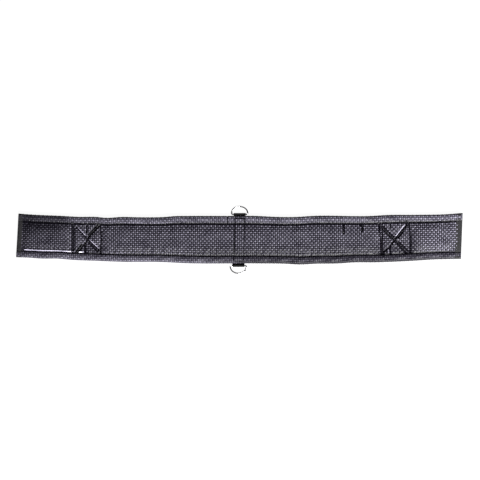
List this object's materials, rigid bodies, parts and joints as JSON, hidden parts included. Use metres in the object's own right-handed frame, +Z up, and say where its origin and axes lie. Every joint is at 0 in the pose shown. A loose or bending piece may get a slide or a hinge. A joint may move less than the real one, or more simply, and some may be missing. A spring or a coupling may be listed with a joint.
{
  "type": "padded training waist belt",
  "caption": "Long padded waist belt of a trainer's belly pad, with D-rings on a cross strap and hook and loop closing patches.",
  "frame": {"origin": "centre of the footprint, on the surface that the belt lies on", "axes": "+X along the belt, +Y across it towards the top D-ring, +Z up, from the outer face to the padded inner face"},
  "size_m": [0.9534, 0.1468, 0.0121],
  "materials": {
    "cover": "glossy black leatherette with a basket-weave emboss",
    "edge_binding": "the same embossed leatherette, folded round the edge",
    "lining": "plain woven nylon",
    "foam": "closed-cell foam",
    "end_tape": "smooth grosgrain binding tape",
    "webbing": "ribbed nylon webbing",
    "hook_tape": "moulded hooks on woven tape",
    "loop_tape": "brushed pile",
    "ring_metal": "polished nickel plate",
    "thread": "bonded nylon sewing thread",
    "label": "plain woven label, blank"
  },
  "bodies": {
    "left_tab": {"left_tab_inner_cover": "cover", "left_tab_foam_core": "foam", "left_tab_outer_cover": "lining", "left_tab_top_binding": "edge_binding", "left_tab_bottom_binding": "edge_binding", "left_hook_patch": "hook_tape", "left_end_binding": "end_tape"},
    "left_box": {"left_box_inner_cover": "cover", "left_box_foam_core": "foam", "left_box_outer_cover": "lining", "left_box_top_binding": "edge_binding", "left_box_bottom_binding": "edge_binding", "left_loop_patch": "loop_tape", "left_box_stitching": "thread"},
    "left_outer_span": {"left_outer_span_inner_cover": "cover", "left_outer_span_foam_core": "foam", "left_outer_span_outer_cover": "lining", "left_outer_span_top_binding": "edge_binding", "left_outer_span_bottom_binding": "edge_binding"},
    "left_inner_span": {"left_inner_span_inner_cover": "cover", "left_inner_span_foam_core": "foam", "left_inner_span_outer_cover": "lining", "left_inner_span_top_binding": "edge_binding", "left_inner_span_bottom_binding": "edge_binding"},
    "centre": {"centre_inner_cover": "cover", "centre_foam_core": "foam", "centre_outer_cover": "lining", "centre_top_binding": "edge_binding", "centre_bottom_binding": "edge_binding", "d_ring_webbing": "webbing", "strap_stitching": "thread"},
    "right_inner_span": {"right_inner_span_inner_cover": "cover", "right_inner_span_foam_core": "foam", "right_inner_span_outer_cover": "lining", "right_inner_span_top_binding": "edge_binding", "right_inner_span_bottom_binding": "edge_binding"},
    "right_outer_span": {"right_outer_span_inner_cover": "cover", "right_outer_span_foam_core": "foam", "right_outer_span_outer_cover": "lining", "right_outer_span_top_binding": "edge_binding", "right_outer_span_bottom_binding": "edge_binding", "woven_label": "label"},
    "right_box": {"right_box_inner_cover": "cover", "right_box_foam_core": "foam", "right_box_outer_cover": "lining", "right_box_top_binding": "edge_binding", "right_box_bottom_binding": "edge_binding", "right_loop_patch": "loop_tape", "right_box_stitching": "thread"},
    "right_tab": {"right_tab_inner_cover": "cover", "right_tab_foam_core": "foam", "right_tab_outer_cover": "lining", "right_tab_top_binding": "edge_binding", "right_tab_bottom_binding": "edge_binding", "right_hook_patch": "hook_tape", "right_end_binding": "end_tape"},
    "top_d_ring": {"top_d_ring": "ring_metal"},
    "bottom_d_ring": {"bottom_d_ring": "ring_metal"}
  },
  "joints": [
    {"name": "right_crease_1", "type": "hinge", "parent": "centre", "child": "right_inner_span", "pos_m": [0.066, 0, 0.0114], "axis": [0, -1, 0], "range_deg": [0, 40]},
    {"name": "right_crease_2", "type": "hinge", "parent": "right_inner_span", "child": "right_outer_span", "pos_m": [0.176, 0, 0.0114], "axis": [0, -1, 0], "range_deg": [0, 40]},
    {"name": "right_crease_3", "type": "hinge", "parent": "right_outer_span", "child": "right_box", "pos_m": [0.27, 0, 0.0114], "axis": [0, -1, 0], "range_deg": [0, 40]},
    {"name": "right_crease_4", "type": "hinge", "parent": "right_box", "child": "right_tab", "pos_m": [0.393, 0, 0.0114], "axis": [0, -1, 0], "range_deg": [0, 40]},
    {"name": "left_crease_1", "type": "hinge", "parent": "centre", "child": "left_inner_span", "pos_m": [-0.066, 0, 0.0114], "axis": [0, 1, 0], "range_deg": [0, 40]},
    {"name": "left_crease_2", "type": "hinge", "parent": "left_inner_span", "child": "left_outer_span", "pos_m": [-0.176, 0, 0.0114], "axis": [0, 1, 0], "range_deg": [0, 40]},
    {"name": "left_crease_3", "type": "hinge", "parent": "left_outer_span", "child": "left_box", "pos_m": [-0.27, 0, 0.0114], "axis": [0, 1, 0], "range_deg": [0, 40]},
    {"name": "left_crease_4", "type": "hinge", "parent": "left_box", "child": "left_tab", "pos_m": [-0.393, 0, 0.0114], "axis": [0, 1, 0], "range_deg": [0, 40]},
    {"name": "top_ring_swing", "type": "hinge", "parent": "centre", "child": "top_d_ring", "pos_m": [0, 0.0549, 0.003], "axis": [1, 0, 0], "range_deg": [-142, 109]},
    {"name": "bottom_ring_swing", "type": "hinge", "parent": "centre", "child": "bottom_d_ring", "pos_m": [0, -0.0549, 0.003], "axis": [-1, 0, 0], "range_deg": [-142, 109]}
  ]
}
